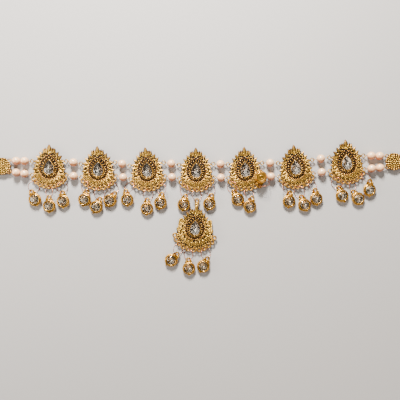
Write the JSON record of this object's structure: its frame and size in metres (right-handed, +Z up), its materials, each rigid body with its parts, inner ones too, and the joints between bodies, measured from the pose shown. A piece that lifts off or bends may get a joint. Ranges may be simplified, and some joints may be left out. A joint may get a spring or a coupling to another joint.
{
  "type": "oddiyanam waist belt",
  "caption": "Open waist belt of pierced pear-shaped plaques with clear stones, pearl pairs between them and small stone drops on jump rings.",
  "frame": {"origin": "under the middle of the middle plaque's stone cup, on the surface that the belt lies on", "axes": "+X along the belt towards its ring end, +Y towards the plaques' tips, +Z up, away from the surface"},
  "size_m": [0.7819, 0.1321, 0.0106],
  "materials": {
    "plaque_gold": "antique gold plating on cast filigree, dark in the recesses",
    "cup_gold": "bright gold plating",
    "ring_wire": "thin drawn wire with a pinkish plating",
    "pin_wire": "drawn wire, gold plated",
    "flower_gold": "granulated gold plating",
    "chain_gold": "polished gold plating",
    "clear_stone": "cut clear glass over silver foil",
    "tinted_stone": "cut glass over gold foil",
    "pearl": "cream imitation pearl with a soft lustre"
  },
  "bodies": {
    "root": {"chain_left": "chain_gold", "chain_right": "chain_gold", "drop_cup_1": "cup_gold", "drop_cup_10": "cup_gold", "drop_cup_11": "cup_gold", "drop_cup_12": "cup_gold", "drop_cup_13": "cup_gold", "drop_cup_14": "cup_gold", "drop_cup_15": "cup_gold", "drop_cup_16": "cup_gold", "drop_cup_17": "cup_gold", "drop_cup_18": "cup_gold", "drop_cup_19": "cup_gold", "drop_cup_2": "cup_gold", "drop_cup_20": "cup_gold", "drop_cup_21": "cup_gold", "drop_cup_22": "cup_gold", "drop_cup_23": "cup_gold", "drop_cup_3": "cup_gold", "drop_cup_4": "cup_gold", "drop_cup_5": "cup_gold", "drop_cup_6": "cup_gold", "drop_cup_7": "cup_gold", "drop_cup_8": "cup_gold", "drop_cup_9": "cup_gold", "drop_stones": "tinted_stone", "end_hook": "chain_gold", "end_ring": "chain_gold", "flower_left": "flower_gold", "flower_right": "flower_gold", "jump_rings": "ring_wire", "lower_pearls": "pearl", "lower_pins": "pin_wire", "outer_flower_left": "flower_gold", "outer_flower_right": "flower_gold", "pear_stone_1": "clear_stone", "pear_stone_2": "clear_stone", "pear_stone_3": "clear_stone", "pear_stone_4": "clear_stone", "pear_stone_5": "clear_stone", "pear_stone_6": "clear_stone", "pear_stone_7": "clear_stone", "pendant_plaque": "plaque_gold", "pendant_stone": "clear_stone", "plaque_1": "plaque_gold", "plaque_2": "plaque_gold", "plaque_3": "plaque_gold", "plaque_4": "plaque_gold", "plaque_5": "plaque_gold", "plaque_6": "plaque_gold", "plaque_7": "plaque_gold", "upper_pearls": "pearl", "upper_pins": "pin_wire"}
  },
  "joints": []
}
